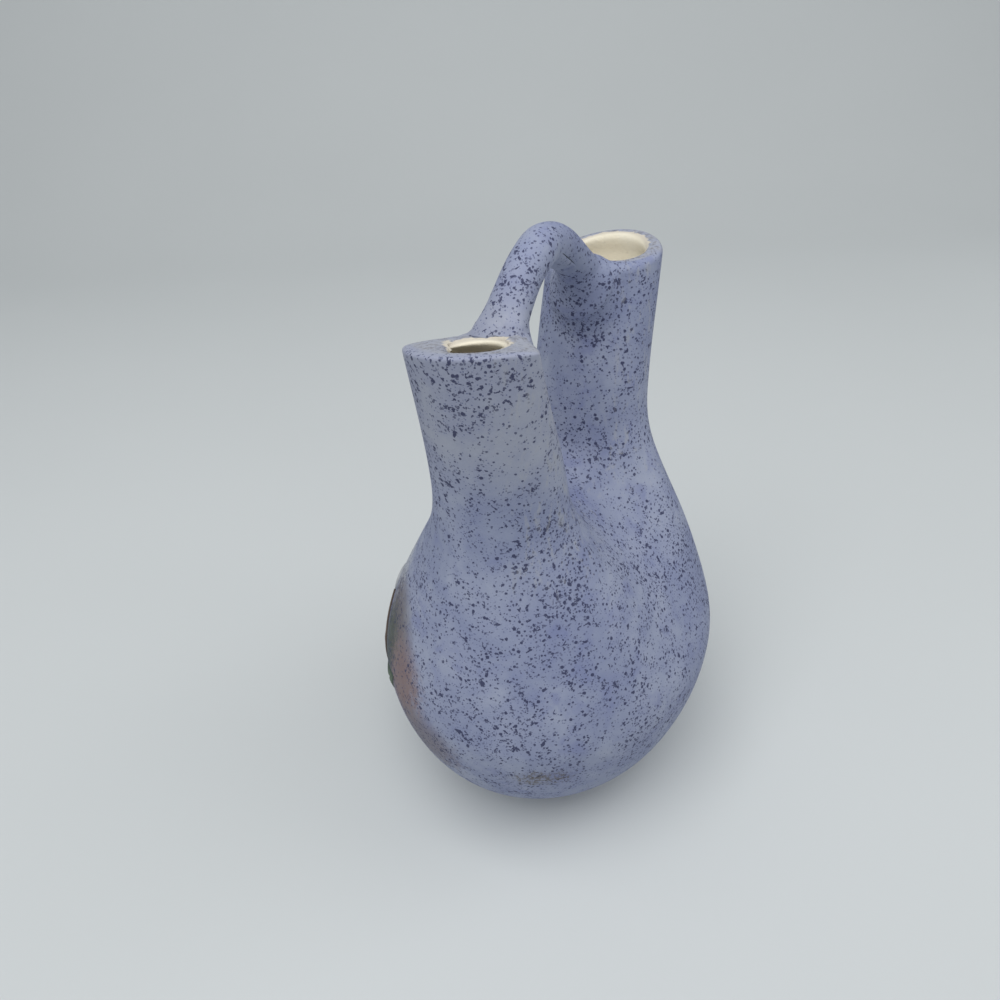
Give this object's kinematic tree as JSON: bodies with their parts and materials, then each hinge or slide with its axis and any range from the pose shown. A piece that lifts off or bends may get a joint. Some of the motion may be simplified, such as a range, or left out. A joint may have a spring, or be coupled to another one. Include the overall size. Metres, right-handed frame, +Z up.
{
  "type": "double bud vase",
  "caption": "Small round-bellied clay vase with twin spouts joined by a bridge handle, speckled lavender outside, cream inside, with a low leafy relief on the front.",
  "frame": {"origin": "middle of the flat foot, on the surface that the vase stands on", "axes": "+Z up; +X from the left spout to the right spout; the decorated front faces -Y"},
  "size_m": [0.0906, 0.0793, 0.138],
  "materials": {
    "lavender_clay": "matt, speckled",
    "cream_clay": "matt",
    "leaf_green_slip": "matt",
    "bark_brown_slip": "matt",
    "pale_grey_slip": "matt",
    "terracotta_slip": "matt"
  },
  "bodies": {
    "root": {"base_slab": "cream_clay", "lower_bowl": "lavender_clay", "shoulder": "lavender_clay", "right_neck": "lavender_clay", "left_neck": "lavender_clay", "right_lip": "lavender_clay", "left_lip": "lavender_clay", "bridge_handle": "lavender_clay", "front_roundel": "terracotta_slip", "right_stem": "bark_brown_slip", "right_leaf_1": "leaf_green_slip", "right_leaf_2": "leaf_green_slip", "right_leaf_3": "leaf_green_slip", "right_leaf_4": "leaf_green_slip", "right_bud": "pale_grey_slip", "left_stem": "bark_brown_slip", "left_leaf_1": "leaf_green_slip", "left_leaf_2": "leaf_green_slip", "left_leaf_3": "leaf_green_slip", "left_leaf_4": "leaf_green_slip", "left_bud": "pale_grey_slip"}
  },
  "joints": []
}
